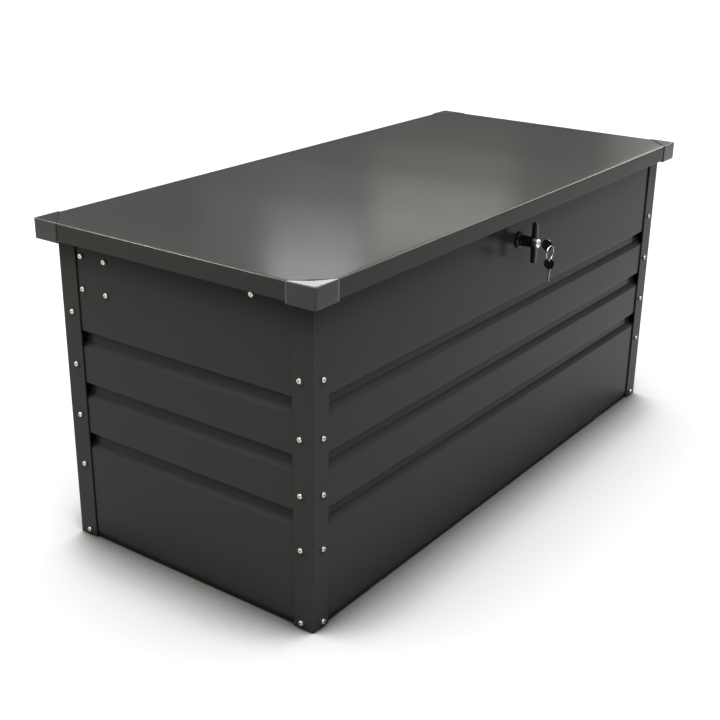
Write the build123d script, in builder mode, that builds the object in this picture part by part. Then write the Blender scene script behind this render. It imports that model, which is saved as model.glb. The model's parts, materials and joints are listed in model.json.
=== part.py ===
from build123d import *

import os
from math import hypot

os.makedirs("parts", exist_ok=True)

# A sheet-steel deck storage box: four pressed walls bolted to corner posts, a floor on hat
# bearers, and a hinged lid on two gas struts, closed by a T-handle cam lock with its keys.
# The origin is the middle of the body's footprint, on the ground. X runs along the front,
# the front faces -Y and Z is up. Wall sections are drawn as (inward, up) from the post face.

# ---------------------------------------------------------------- driving dimensions (mm)
body_length = 1282.0
body_depth = 566.0
body_height = 604.0

panel_gauge = 0.6
frame_gauge = 1.0
plate_gauge = 2.0
bend_radius = 1.6

# Corner posts and the walls between them
post_flange = 42.0
panel_setback = 3.0
panel_end_gap = 16.0
panel_ground_gap = 4.0
groove_depth = 10.0
groove_height = 31.0
groove_slope_rise = 10.0
row_pitch = 100.5
top_row_drop = 150.0
groove_below_row = 34.0
lowest_groove_height = 105.0
bottom_row_height = 12.0
bolt_edge_distance = 25.0

# Floor
bearer_height = 20.0
bearer_crown = 34.0
bearer_flange = 12.0
bearer_end_distance = 190.0
floor_edge_bottom = 5.0

# Top rails and bumpers
rail_leg = 9.0
rail_end_gap = 18.0
front_rail_drop = 28.0
side_rail_drop = 48.0
rear_rail_drop = 66.0
bumper_radius = 3.8
bumper_stem_radius = 1.9
bumper_end_distance = 120.0
bumper_gap = 0.3

# Lid
lid_end_overhang = 24.0
lid_front_overhang = 24.5
lid_rear_overhang = 28.5
lid_headroom = 16.0
lid_rim = 32.0
lid_hem = 7.0
lid_corner_radius = 3.0
lid_edge_radius = 2.0
lid_rib_depth = 10.0
lid_rib_gauge = 0.8
lid_rib_crown = 24.0
lid_rib_flange = 8.0
lid_rib_joint_gap = 1.0
end_rib_distance = 56.0
mid_rib_spacing = 310.0
cap_leg = 57.0
cap_gauge = 1.0
cap_drop = 3.4
cap_hem = 6.0
cap_edge_radius = 0.8

# Hinges
hinge_spacing = 480.0
hinge_axis_drop = 20.0
hinge_axis_overhang = 2.0
hinge_width = 60.0
knuckle_radius = 4.0
pin_radius = 2.0
running_clearance = 0.05
knuckle_gap = 0.2
leaf_drop = 44.0
hinge_rows = (14.0, 34.0)
hinge_bolt_spread = 36.0

# Gas struts: both ball studs lie on one circle about the hinge axis
wall_stud_forward = 50.0
wall_stud_drop = 129.0
lid_stud_rise = 15.0
strut_inset = 28.0
strut_tube_radius = 7.5
strut_tube_wall = 0.9
strut_rod_radius = 3.0
strut_seal_clearance = 0.08
piston_clearance = 0.1
piston_length = 6.0
ball_radius = 5.0
ball_clearance = 0.15
stud_neck_radius = 2.6
socket_radius = 8.0
socket_mouth_gap = 0.6
socket_width = 11.0
strut_stem_radius = 4.5
strut_tube_start = 10.0
strut_tube_floor = 3.0
strut_gland_length = 7.0
strut_end_allowance = 22.5
piston_end_gap = 9.5
bracket_bolt_columns = (54.0, 112.0)
bracket_bolt_drops = (43.0, 103.0)
bracket_margin = 15.0
rail_bolt_column = 122.0
rail_bolt_drop = 30.0
lid_bracket_inset = 38.0
lid_bracket_width = 28.0
lid_bracket_flange = 24.0

# Lock
lock_drop = 67.0
rosette_radius = 16.0
rosette_thickness = 6.0
lock_thread_radius = 10.0
lock_thread_length = 14.0
lock_hole_clearance = 0.15
lock_nut_thickness = 5.0
handle_stand_off = 33.0
handle_thickness = 12.0
handle_length = 80.0
handle_hub_radius = 12.0
handle_neck_radius = 11.0
handle_tip_radius = 5.5
handle_edge_radius = 2.5
handle_gap = 0.3
barrel_radius = 8.5
barrel_length = 22.0
barrel_proud = 3.0
plug_radius = 6.0
plug_length = 20.0
spindle_radius = 5.0
cam_gap = 1.0
cam_thickness = 2.5
cam_length = 50.0
cam_half_width = 8.0
cam_nut_thickness = 3.5
catch_inner = 28.0
catch_outer = 52.0
catch_clearance = 1.0
catch_strip_inset = 26.0
catch_ledge_inset = 17.0

# Keys and their ring
key_gauge = 2.0
key_width = 7.0
key_blade_length = 18.0
key_slot_clearance = 0.2
key_end_gap = 1.0
key_head_radius = 11.0
key_head_thickness = 3.2
key_head_offset = 18.0
key_hole_offset = 7.0
key_hole_radius = 2.2
spare_blade_length = 24.0
ring_radius = 13.0
ring_wire_radius = 0.9
ring_seat_gap = 0.3

# Fasteners
bolt_radius = 2.45
bolt_hole_radius = 2.7
drill_length = 18.0
bolt_head_radius = 4.7
bolt_head_height = 3.0
bolt_head_edge = 1.4
washer_radius = 6.4
washer_thickness = 1.0
nut_radius = 4.6
nut_thickness = 4.0
bolt_tail = 1.5
recess_width = 1.1
recess_length = 4.6
recess_depth = 1.3

# ---------------------------------------------------------------- derived places
half_length = body_length / 2
half_depth = body_depth / 2
panel_inner = panel_setback + panel_gauge
rail_inner = panel_inner + frame_gauge

lid_top = body_height + lid_headroom
lid_under = lid_top - panel_gauge
lid_frame_bottom = lid_under - lid_rib_depth
rim_bottom = lid_top - lid_rim

top_row = body_height - top_row_drop
row_count = 1 + int((top_row - groove_below_row - lowest_groove_height) / row_pitch)
bolt_rows = [top_row - row_pitch * step for step in range(row_count)]
groove_tops = [row - groove_below_row for row in bolt_rows[:-1]]

hinge_y = half_depth + hinge_axis_overhang
hinge_z = body_height - hinge_axis_drop
stud_circle = hypot(wall_stud_forward, wall_stud_drop)
lid_stud_forward = (stud_circle**2 - lid_stud_rise**2) ** 0.5
wall_stud = Vector(0, hinge_y - wall_stud_forward, hinge_z - wall_stud_drop)
lid_stud = Vector(0, hinge_y - lid_stud_forward, hinge_z + lid_stud_rise)
strut_closed = (lid_stud - wall_stud).length
tube_length = strut_closed - strut_end_allowance
bore_start = strut_tube_start + strut_tube_floor
strut_direction = (lid_stud - wall_stud).normalized()

lock_z = body_height - lock_drop
panel_front = -half_depth + panel_setback
handle_mid_y = panel_front - handle_stand_off
handle_front_y = handle_mid_y - handle_thickness / 2
handle_back_y = handle_mid_y + handle_thickness / 2
barrel_face_y = handle_front_y - barrel_proud
rosette_face_y = panel_front - rosette_thickness
thread_end_y = panel_front + lock_thread_length
cam_front_y = thread_end_y + cam_gap
cam_back_y = cam_front_y + cam_thickness
key_head_y = barrel_face_y - key_head_offset
key_hole_y = key_head_y - key_hole_offset
key_slot_depth = key_blade_length + key_end_gap


def corner_plane(side_x, side_y):
    """A plane at a bottom corner of the body, its two in-plane axes running along the walls."""
    run = (-side_x, 0, 0) if side_x * side_y > 0 else (0, -side_y, 0)
    return Plane(origin=(side_x * half_length, side_y * half_depth, 0), x_dir=run, z_dir=(0, 0, 1))


def save(builder, name):
    """Label one finished sub-part and write its STEP file."""
    builder.part.label = name
    export_step(builder.part, f"parts/{name}.step")


# Section planes of the walls: local x is inward from the post face, local y is up
wall_sections = {
    "front": Plane(origin=(0, -half_depth, 0), x_dir=(0, 1, 0), z_dir=(1, 0, 0)),
    "rear": Plane(origin=(0, half_depth, 0), x_dir=(0, -1, 0), z_dir=(-1, 0, 0)),
    "left": Plane(origin=(-half_length, 0, 0), x_dir=(1, 0, 0), z_dir=(0, -1, 0)),
    "right": Plane(origin=(half_length, 0, 0), x_dir=(-1, 0, 0), z_dir=(0, 1, 0)),
}
wall_lengths = {"front": body_length, "rear": body_length, "left": body_depth, "right": body_depth}
corners = {
    "front_left": corner_plane(-1, -1),
    "front_right": corner_plane(1, -1),
    "rear_left": corner_plane(-1, 1),
    "rear_right": corner_plane(1, 1),
}

# Places of the post bolts: a plane on the post's outer face for each, looking outwards
post_bolt_places = {name: [] for name in corners}
for name, corner in corners.items():
    for run, outward in ((corner.x_dir, -corner.y_dir), (corner.y_dir, -corner.x_dir)):
        for row in bolt_rows + [bottom_row_height]:
            place = corner.origin + run * bolt_edge_distance + Vector(0, 0, row)
            post_bolt_places[name].append(Plane(origin=place, z_dir=outward))
all_post_bolts = [place for places in post_bolt_places.values() for place in places]
floor_bolts = [place for place in all_post_bolts if place.origin.Z == bottom_row_height]
wall_bolts = [place for place in all_post_bolts if place.origin.Z != bottom_row_height]

# Places of the bolts through the end walls, on the panel's outer face
end_wall_bolts = []
for side in (-1, 1):
    face_x = side * (half_length - panel_setback)
    spots = [(half_depth - column, drop) for column in bracket_bolt_columns for drop in bracket_bolt_drops]
    spots.append((-half_depth + rail_bolt_column, rail_bolt_drop))
    for bolt_y, drop in spots:
        spot = (face_x, bolt_y, body_height - drop)
        end_wall_bolts.append(Plane(origin=spot, z_dir=(side, 0, 0)))

# Places of the hinge bolts, on the outer face of the body leaves
hinge_centres = [hinge_spacing * step for step in (-1, 0, 1)]
leaf_outer_y = half_depth - panel_setback + plate_gauge
hinge_bolts = []
for centre in hinge_centres:
    for shift in (-hinge_bolt_spread / 2, hinge_bolt_spread / 2):
        for drop in hinge_rows:
            spot = (centre + shift, leaf_outer_y, hinge_z - drop)
            hinge_bolts.append(Plane(origin=spot, z_dir=(0, 1, 0)))


# ---------------------------------------------------------------- walls and posts
def facing(places, outward):
    """Those of the bolt places that look the same way as a wall's outer face."""
    return [place for place in places if round(place.z_dir.dot(outward)) == 1]


def wall_outline():
    """Outer line of a wall's section, from the foot up, with one pressed step below each row."""
    points = [(panel_setback, panel_ground_gap)]
    recess = panel_setback + groove_depth
    for top in reversed(groove_tops):
        foot = top - groove_height
        points += [(panel_setback, foot), (recess, foot + groove_slope_rise)]
        points += [(recess, top), (panel_setback, top)]
    return points + [(panel_setback, body_height)]


wall_holes = {
    "front": wall_bolts + floor_bolts,
    "rear": wall_bolts + floor_bolts + hinge_bolts,
    "left": wall_bolts + floor_bolts + end_wall_bolts,
    "right": wall_bolts + floor_bolts + end_wall_bolts,
}
for side, section in wall_sections.items():
    holes = facing(wall_holes[side], -section.x_dir)
    panel_width = wall_lengths[side] - 2 * panel_end_gap
    with BuildPart() as wall_panel:
        with BuildSketch(section):
            with BuildLine():
                FilletPolyline(*wall_outline(), radius=bend_radius)
                offset(amount=panel_gauge, side=Side.RIGHT)
            make_face()
        extrude(amount=panel_width / 2, both=True)
        with Locations(*holes):
            Cylinder(bolt_hole_radius, drill_length, mode=Mode.SUBTRACT)
        if side == "front":
            with BuildSketch(Plane(origin=(0, panel_front, lock_z), z_dir=(0, -1, 0))):
                Circle(lock_thread_radius + lock_hole_clearance)
            extrude(amount=-2 * panel_gauge, mode=Mode.SUBTRACT)
    save(wall_panel, f"{side}_panel")

for name, corner in corners.items():
    outline = [(post_flange, panel_setback), (post_flange, 0), (0, 0), (0, post_flange)]
    outline.append((panel_setback, post_flange))
    with BuildPart() as post:
        with BuildSketch(corner):
            with BuildLine():
                FilletPolyline(*outline, radius=bend_radius)
                offset(amount=frame_gauge, side=Side.RIGHT)
            make_face()
        extrude(amount=body_height)
        with Locations(*post_bolt_places[name]):
            Cylinder(bolt_hole_radius, drill_length, mode=Mode.SUBTRACT)
    save(post, f"{name}_post")

# ---------------------------------------------------------------- floor
floor_length = body_length - 2 * panel_inner
floor_depth = body_depth - 2 * panel_inner
floor_notch = panel_end_gap - panel_inner
edge_middle = (floor_edge_bottom + bearer_height) / 2
edge_height = bearer_height - floor_edge_bottom
with BuildPart() as floor_sheet:
    with BuildSketch(Plane.XY.offset(bearer_height)):
        Rectangle(floor_length, floor_depth)
        with GridLocations(floor_length - floor_notch, floor_depth - floor_notch, 2, 2):
            Rectangle(floor_notch, floor_notch, mode=Mode.SUBTRACT)
    extrude(amount=panel_gauge)
    with Locations((0, 0, edge_middle)):
        with GridLocations(1, floor_depth - panel_gauge, 1, 2):
            Box(floor_length - 2 * floor_notch, panel_gauge, edge_height)
        with GridLocations(floor_length - panel_gauge, 1, 2, 1):
            Box(panel_gauge, floor_depth - 2 * floor_notch, edge_height)
    with Locations(*floor_bolts):
        Cylinder(bolt_hole_radius, drill_length, mode=Mode.SUBTRACT)
save(floor_sheet, "floor_sheet")


def hat_section(plane, centre, crown, flange, depth, gauge):
    """A hat section of sheet: its crown lies on local y = 0, its flanges turn out at the top."""
    with BuildSketch(plane) as section:
        with Locations((centre, 0)):
            Rectangle(crown, gauge, align=(Align.CENTER, Align.MIN))
            for turn in (-1, 1):
                with Locations((turn * (crown - gauge) / 2, 0)):
                    Rectangle(gauge, depth, align=(Align.CENTER, Align.MIN))
                with Locations((turn * (crown + flange) / 2, depth)):
                    Rectangle(flange, gauge, align=(Align.CENTER, Align.MAX))
    return section.sketch


bearer_length = floor_depth - 2 * panel_gauge
bearer_places = {
    "left": -half_length + bearer_end_distance,
    "middle": 0.0,
    "right": half_length - bearer_end_distance,
}
for name, place in bearer_places.items():
    with BuildPart() as bearer:
        extrude(
            hat_section(Plane.XZ, place, bearer_crown, bearer_flange, bearer_height, frame_gauge),
            amount=bearer_length / 2,
            both=True,
        )
    save(bearer, f"{name}_floor_bearer")

# ---------------------------------------------------------------- top rails and bumpers
bumper_spots = [
    (side_x * (half_length - bumper_end_distance), side_y * (half_depth - panel_inner - rail_leg / 2))
    for side_x in (-1, 1)
    for side_y in (-1, 1)
]
rail_drops = {
    "front": front_rail_drop,
    "rear": rear_rail_drop,
    "left": side_rail_drop,
    "right": side_rail_drop,
}
for side, section in wall_sections.items():
    holes = facing(wall_holes[side], -section.x_dir)
    with BuildPart() as rail:
        with BuildSketch(section):
            with Locations((panel_inner, body_height)):
                Rectangle(frame_gauge, rail_drops[side], align=(Align.MIN, Align.MAX))
                Rectangle(rail_leg, frame_gauge, align=(Align.MIN, Align.MAX))
        extrude(amount=wall_lengths[side] / 2 - rail_end_gap, both=True)
        with Locations(*holes):
            Cylinder(bolt_hole_radius, drill_length, mode=Mode.SUBTRACT)
        with Locations(*[(x, y, body_height) for x, y in bumper_spots]):
            Cylinder(bumper_stem_radius + running_clearance, drill_length, mode=Mode.SUBTRACT)
    save(rail, f"{side}_rail")

bumper_height = lid_frame_bottom - bumper_gap - body_height
with BuildPart() as lid_bumpers:
    with Locations(*[(x, y, body_height) for x, y in bumper_spots]):
        Cylinder(bumper_radius, bumper_height, align=(Align.CENTER, Align.CENTER, Align.MIN))
        Cylinder(bumper_stem_radius, 2 * frame_gauge, align=(Align.CENTER, Align.CENTER, Align.MAX))
    with Locations(*[(x, y, body_height - frame_gauge) for x, y in bumper_spots]):
        Cone(
            bumper_stem_radius,
            bumper_stem_radius + frame_gauge,
            2 * frame_gauge,
            align=(Align.CENTER, Align.CENTER, Align.MAX),
        )
save(lid_bumpers, "lid_bumpers")

# ---------------------------------------------------------------- lid
lid_length = body_length + 2 * lid_end_overhang
lid_depth = body_depth + lid_front_overhang + lid_rear_overhang
lid_centre_y = (lid_rear_overhang - lid_front_overhang) / 2
lid_front_y = lid_centre_y - lid_depth / 2
lid_rear_y = lid_centre_y + lid_depth / 2
lid_middle = Plane(origin=(0, lid_centre_y, 0))
rim_screws = [
    Plane(origin=(centre + shift, lid_rear_y, (hinge_z + lid_top) / 2 + plate_gauge), z_dir=(0, 1, 0))
    for centre in hinge_centres
    for shift in (-hinge_bolt_spread / 2, hinge_bolt_spread / 2)
]
inner_length = lid_length - 2 * panel_gauge
inner_depth = lid_depth - 2 * panel_gauge
inner_radius = lid_corner_radius - panel_gauge
with BuildPart() as lid_panel:
    with BuildSketch(lid_middle.offset(rim_bottom)):
        RectangleRounded(lid_length, lid_depth, lid_corner_radius)
    extrude(amount=lid_rim)
    fillet(lid_panel.faces().sort_by(Axis.Z)[-1].edges(), lid_edge_radius)
    with BuildSketch(lid_middle.offset(rim_bottom)):
        RectangleRounded(inner_length, inner_depth, inner_radius)
    extrude(amount=lid_rim - panel_gauge, mode=Mode.SUBTRACT)
    with BuildSketch(lid_middle.offset(rim_bottom)):
        RectangleRounded(lid_length, lid_depth, lid_corner_radius)
        Rectangle(inner_length - 2 * lid_hem, inner_depth - 2 * lid_hem, mode=Mode.SUBTRACT)
    extrude(amount=panel_gauge)
    with Locations(*rim_screws):
        Cylinder(bolt_hole_radius, drill_length, mode=Mode.SUBTRACT)
save(lid_panel, "lid_panel")


def lid_hat(plane, centre):
    """The section of a lid rib, its crown facing down into the box."""
    return hat_section(plane, centre, lid_rib_crown, lid_rib_flange, lid_rib_depth, lid_rib_gauge)


rib_width = lid_rib_crown + 2 * lid_rib_flange
front_hat_y = -half_depth + panel_inner + lid_rib_crown / 2
rear_hat_y = half_depth - panel_inner - lid_rib_crown / 2
along_length = Plane(origin=(0, 0, lid_frame_bottom), x_dir=(0, 1, 0), z_dir=(1, 0, 0))
along_depth = Plane(
    origin=(0, (front_hat_y + rear_hat_y) / 2, lid_frame_bottom), x_dir=(-1, 0, 0), z_dir=(0, 1, 0)
)
for name, place in (("lid_front_rail", front_hat_y), ("lid_rear_rail", rear_hat_y)):
    with BuildPart() as lid_rail:
        extrude(lid_hat(along_length, place), amount=half_length, both=True)
    save(lid_rail, name)

rib_length = rear_hat_y - front_hat_y - rib_width - 2 * lid_rib_joint_gap
end_rib_x = half_length - end_rib_distance
with BuildPart() as lid_ribs:
    for place in (-end_rib_x, -mid_rib_spacing, 0, mid_rib_spacing, end_rib_x):
        extrude(lid_hat(along_depth, -place), amount=rib_length / 2, both=True)
save(lid_ribs, "lid_ribs")

# Corner caps: a triangular plate on top, a wall down each rim and a hem turned in below it
for side_x, side_y in ((-1, -1), (1, -1), (-1, 1), (1, 1)):
    rim_x = side_x * lid_length / 2
    rim_y = lid_centre_y + side_y * lid_depth / 2
    outer_x, outer_y = rim_x + side_x * cap_gauge, rim_y + side_y * cap_gauge
    end_x, end_y = rim_x - side_x * cap_leg, rim_y - side_y * cap_leg
    hem_x, hem_y = rim_x - side_x * cap_hem, rim_y - side_y * cap_hem
    plate = [(outer_x, outer_y), (end_x, outer_y), (end_x, rim_y), (rim_x, end_y), (outer_x, end_y)]
    angle = [(outer_x, outer_y), (end_x, outer_y), (end_x, rim_y), (rim_x, rim_y)]
    angle += [(rim_x, end_y), (outer_x, end_y)]
    hem = [(outer_x, outer_y), (end_x, outer_y), (end_x, hem_y), (hem_x, hem_y)]
    hem += [(hem_x, end_y), (outer_x, end_y)]
    cap_bottom = rim_bottom - cap_drop
    with BuildPart() as corner_cap:
        with BuildSketch(Plane.XY.offset(lid_top)):
            Polygon(*plate, align=None)
        extrude(amount=cap_gauge)
        with BuildSketch(Plane.XY.offset(cap_bottom)):
            Polygon(*angle, align=None)
        extrude(amount=lid_top - cap_bottom)
        with BuildSketch(Plane.XY.offset(cap_bottom)):
            Polygon(*hem, align=None)
        extrude(amount=cap_gauge)
        rounded = corner_cap.edges().filter_by(Axis.Z).sort_by_distance((outer_x, outer_y, cap_bottom))
        fillet(rounded[0], lid_corner_radius)
        top_edges = corner_cap.faces().sort_by(Axis.Z)[-1].edges().sort_by(SortBy.LENGTH)
        fillet(top_edges[2:5], cap_edge_radius)
    name = f"{'rear' if side_y > 0 else 'front'}_{'right' if side_x > 0 else 'left'}_cap"
    save(corner_cap, name)

# ---------------------------------------------------------------- hinges
leaf_inner_y = half_depth - panel_setback
rim_inner_y = lid_rear_y - panel_gauge
with BuildPart() as hinge_body_leaves:
    for centre in hinge_centres:
        with BuildSketch(Plane(origin=(centre, 0, 0), x_dir=(0, 1, 0), z_dir=(1, 0, 0))):
            with Locations((leaf_inner_y, hinge_z)):
                Rectangle(plate_gauge, leaf_drop, align=(Align.MIN, Align.MAX))
            with Locations((hinge_y, hinge_z)):
                Circle(knuckle_radius)
                Circle(pin_radius + running_clearance, mode=Mode.SUBTRACT)
        extrude(amount=hinge_width / 2, both=True)
        with Locations((centre, hinge_y, hinge_z)):
            Box(hinge_width / 3, 3 * knuckle_radius, 3 * knuckle_radius, mode=Mode.SUBTRACT)
    with Locations(*hinge_bolts):
        Cylinder(bolt_hole_radius, drill_length, mode=Mode.SUBTRACT)
save(hinge_body_leaves, "hinge_body_leaves")

web_z = rim_bottom + panel_gauge + 2 * plate_gauge
with BuildPart() as hinge_lid_leaves:
    for centre in hinge_centres:
        with BuildSketch(Plane(origin=(centre, 0, 0), x_dir=(0, 1, 0), z_dir=(1, 0, 0))):
            with Locations((hinge_y, hinge_z)):
                Circle(knuckle_radius)
                Rectangle(plate_gauge, web_z - hinge_z, align=(Align.CENTER, Align.MIN))
                Circle(pin_radius + running_clearance, mode=Mode.SUBTRACT)
        extrude(amount=hinge_width / 6 - knuckle_gap, both=True)
        with BuildSketch(Plane(origin=(centre, 0, 0), x_dir=(0, 1, 0), z_dir=(1, 0, 0))):
            with Locations((hinge_y - plate_gauge / 2, web_z)):
                Rectangle(rim_inner_y - hinge_y + plate_gauge / 2, plate_gauge, align=(Align.MIN, Align.MAX))
            with Locations((rim_inner_y, web_z - plate_gauge)):
                Rectangle(plate_gauge, lid_frame_bottom - web_z, align=(Align.MAX, Align.MIN))
        extrude(amount=hinge_width / 2, both=True)
    with Locations(*rim_screws):
        Cylinder(bolt_hole_radius, drill_length, mode=Mode.SUBTRACT)
save(hinge_lid_leaves, "hinge_lid_leaves")

with BuildPart() as hinge_pins:
    for centre in hinge_centres:
        with BuildSketch(Plane(origin=(centre, hinge_y, hinge_z), z_dir=(1, 0, 0))):
            Circle(pin_radius)
        extrude(amount=hinge_width / 2, both=True)
        for turn in (-1, 1):
            end = (centre + turn * hinge_width / 2, hinge_y, hinge_z)
            with BuildSketch(Plane(origin=end, z_dir=(turn, 0, 0))):
                Circle(pin_radius + frame_gauge)
            extrude(amount=frame_gauge)
save(hinge_pins, "hinge_pins")

# ---------------------------------------------------------------- gas struts and their brackets
def ball_section(centre, radius, neck_radius, neck_length):
    """Half section of a ball and the neck that leaves it along X, to be turned about that axis."""
    with BuildSketch(Plane(origin=centre, x_dir=(1, 0, 0), z_dir=(0, -1, 0))) as section:
        Circle(radius)
        neck_end = Align.MIN if neck_length > 0 else Align.MAX
        Rectangle(abs(neck_length), 2 * neck_radius, align=(neck_end, Align.CENTER))
        lower_half = (Align.CENTER, Align.MAX)
        Rectangle(4 * abs(neck_length), 3 * radius, align=lower_half, mode=Mode.SUBTRACT)
    return section.sketch


wall_bracket_bottom = wall_stud.Z - bracket_margin
wall_bracket_top = body_height - bracket_bolt_drops[0] + bracket_margin
wall_bracket_rear = half_depth - bracket_bolt_columns[0] + bracket_margin
wall_bracket_front = half_depth - bracket_bolt_columns[1] - bracket_margin
cavity_radius = ball_radius + ball_clearance
cavity_neck_radius = stud_neck_radius + socket_mouth_gap
for name, side in (("left", -1), ("right", 1)):
    strut_x = side * (half_length - strut_inset)
    wall_x = side * (half_length - rail_inner)
    lid_bracket_x = side * (half_length - lid_bracket_inset)
    strut_start = Vector(strut_x, wall_stud.Y, wall_stud.Z)
    lid_end = Vector(strut_x, lid_stud.Y, lid_stud.Z)
    side_bolts = [place for place in end_wall_bolts if place.z_dir.X * side > 0]
    bracket_middle = (
        wall_x,
        (wall_bracket_front + wall_bracket_rear) / 2,
        (wall_bracket_bottom + wall_bracket_top) / 2,
    )
    bracket_size = (wall_bracket_rear - wall_bracket_front, wall_bracket_top - wall_bracket_bottom)

    with BuildPart() as wall_bracket:
        with BuildSketch(Plane(origin=bracket_middle, x_dir=(0, 1, 0), z_dir=(-side, 0, 0))):
            RectangleRounded(*bracket_size, bracket_margin / 2)
        extrude(amount=plate_gauge)
        wall_neck = side * (strut_inset - rail_inner - plate_gauge / 2)
        revolve(
            ball_section(strut_start, ball_radius, stud_neck_radius, wall_neck),
            axis=Axis(strut_start, (1, 0, 0)),
        )
        with Locations(*side_bolts):
            Cylinder(bolt_hole_radius, drill_length, mode=Mode.SUBTRACT)
    save(wall_bracket, f"{name}_wall_bracket")

    lid_plate_bottom = lid_stud.Z - socket_radius
    with BuildPart() as lid_bracket:
        plate_middle = (lid_bracket_x, lid_end.Y, (lid_plate_bottom + lid_frame_bottom) / 2)
        with Locations(plate_middle):
            Box(
                plate_gauge,
                lid_bracket_width,
                lid_frame_bottom - lid_plate_bottom,
                align=(Align.MAX if side > 0 else Align.MIN, Align.CENTER, Align.CENTER),
            )
        with Locations((lid_bracket_x, lid_end.Y, lid_frame_bottom)):
            Box(
                lid_bracket_flange,
                lid_bracket_width,
                plate_gauge,
                align=(Align.MAX if side > 0 else Align.MIN, Align.CENTER, Align.MAX),
            )
        lid_neck = -side * (lid_bracket_inset - strut_inset + plate_gauge / 2)
        revolve(
            ball_section(lid_end, ball_radius, stud_neck_radius, lid_neck),
            axis=Axis(lid_end, (1, 0, 0)),
        )
    save(lid_bracket, f"{name}_lid_bracket")

    strut_axis = Plane(origin=strut_start, x_dir=(side, 0, 0), z_dir=strut_direction)
    socket_middle = Plane(origin=strut_start, z_dir=(side, 0, 0))
    with BuildPart() as strut_cylinder:
        with BuildSketch(socket_middle):
            Circle(socket_radius)
        extrude(amount=socket_width / 2, both=True)
        with BuildSketch(strut_axis):
            Circle(strut_stem_radius)
        extrude(amount=bore_start)
        with BuildSketch(strut_axis.offset(strut_tube_start)):
            Circle(strut_tube_radius)
        extrude(amount=tube_length - strut_tube_start)
        with BuildSketch(strut_axis.offset(bore_start)):
            Circle(strut_tube_radius - strut_tube_wall)
        extrude(amount=tube_length - strut_gland_length - bore_start, mode=Mode.SUBTRACT)
        with BuildSketch(strut_axis.offset(tube_length)):
            Circle(strut_rod_radius + strut_seal_clearance)
        extrude(amount=-2 * strut_gland_length, mode=Mode.SUBTRACT)
        revolve(
            ball_section(strut_start, cavity_radius, cavity_neck_radius, side * socket_width),
            axis=Axis(strut_start, (1, 0, 0)),
            mode=Mode.SUBTRACT,
        )
    save(strut_cylinder, f"{name}_strut_cylinder")

    rod_axis = Plane(origin=lid_end, x_dir=(side, 0, 0), z_dir=-strut_direction)
    rod_socket = Plane(origin=lid_end, z_dir=(side, 0, 0))
    rod_length = strut_closed - bore_start - piston_end_gap
    with BuildPart() as strut_rod:
        with BuildSketch(rod_socket):
            Circle(socket_radius)
        extrude(amount=socket_width / 2, both=True)
        with BuildSketch(rod_axis):
            Circle(strut_rod_radius)
        extrude(amount=rod_length)
        with BuildSketch(rod_axis.offset(rod_length - piston_length)):
            Circle(strut_tube_radius - strut_tube_wall - piston_clearance)
        extrude(amount=piston_length)
        revolve(
            ball_section(lid_end, cavity_radius, cavity_neck_radius, -side * socket_width),
            axis=Axis(lid_end, (1, 0, 0)),
            mode=Mode.SUBTRACT,
        )
    save(strut_rod, f"{name}_strut_rod")

# ---------------------------------------------------------------- lock
lock_face = Plane(origin=(0, 0, lock_z), x_dir=(1, 0, 0), z_dir=(0, -1, 0))


def lock_plane(y):
    """The plane across the lock's axis at a given y, looking out of the front of the box."""
    return lock_face.offset(-y)


with BuildPart() as lock_rosette:
    with BuildSketch(lock_plane(panel_front)):
        Circle(rosette_radius)
    extrude(amount=rosette_thickness)
    fillet(lock_rosette.faces().sort_by(Axis.Y)[0].edges(), handle_edge_radius)
    with BuildSketch(lock_plane(panel_front)):
        Circle(lock_thread_radius)
    extrude(amount=-lock_thread_length)
    with BuildSketch(lock_plane(thread_end_y)):
        Circle(spindle_radius + running_clearance)
    extrude(amount=2 * lock_thread_length, mode=Mode.SUBTRACT)
save(lock_rosette, "lock_rosette")

with BuildPart() as lock_nut:
    with BuildSketch(lock_plane(panel_front + panel_gauge)):
        RegularPolygon(rosette_radius - frame_gauge, 6)
        Circle(lock_thread_radius + running_clearance, mode=Mode.SUBTRACT)
    extrude(amount=-lock_nut_thickness)
save(lock_nut, "lock_nut")

barrel_back_y = barrel_face_y + barrel_length
neck_end_y = rosette_face_y - handle_gap
with BuildPart() as t_handle:
    with BuildSketch(lock_plane(handle_back_y)):
        Circle(handle_hub_radius)
        for turn in (-1, 1):
            with Locations((0, turn * (handle_length / 2 - handle_tip_radius))):
                Circle(handle_tip_radius)
        make_hull()
    extrude(amount=handle_thickness)
    fillet(t_handle.faces().sort_by(Axis.Y)[0].edges(), handle_edge_radius)
    fillet(t_handle.faces().sort_by(Axis.Y)[-1].edges(), handle_edge_radius)
    with BuildSketch(lock_plane(handle_mid_y)):
        Circle(handle_neck_radius)
    extrude(amount=handle_mid_y - neck_end_y)
    with BuildSketch(lock_plane(barrel_back_y)):
        Circle(barrel_radius)
    extrude(amount=barrel_length, mode=Mode.SUBTRACT)
    with BuildSketch(lock_plane(neck_end_y)):
        Circle(spindle_radius)
    extrude(amount=neck_end_y - barrel_back_y, mode=Mode.SUBTRACT)
save(t_handle, "t_handle")

with BuildPart() as lock_barrel:
    with BuildSketch(lock_plane(barrel_back_y)):
        Circle(barrel_radius)
    extrude(amount=barrel_length)
    fillet(lock_barrel.faces().sort_by(Axis.Y)[0].edges(), cap_edge_radius)
    with BuildSketch(lock_plane(barrel_face_y)):
        Circle(plug_radius + running_clearance)
    extrude(amount=-plug_length, mode=Mode.SUBTRACT)
save(lock_barrel, "lock_barrel")

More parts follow.
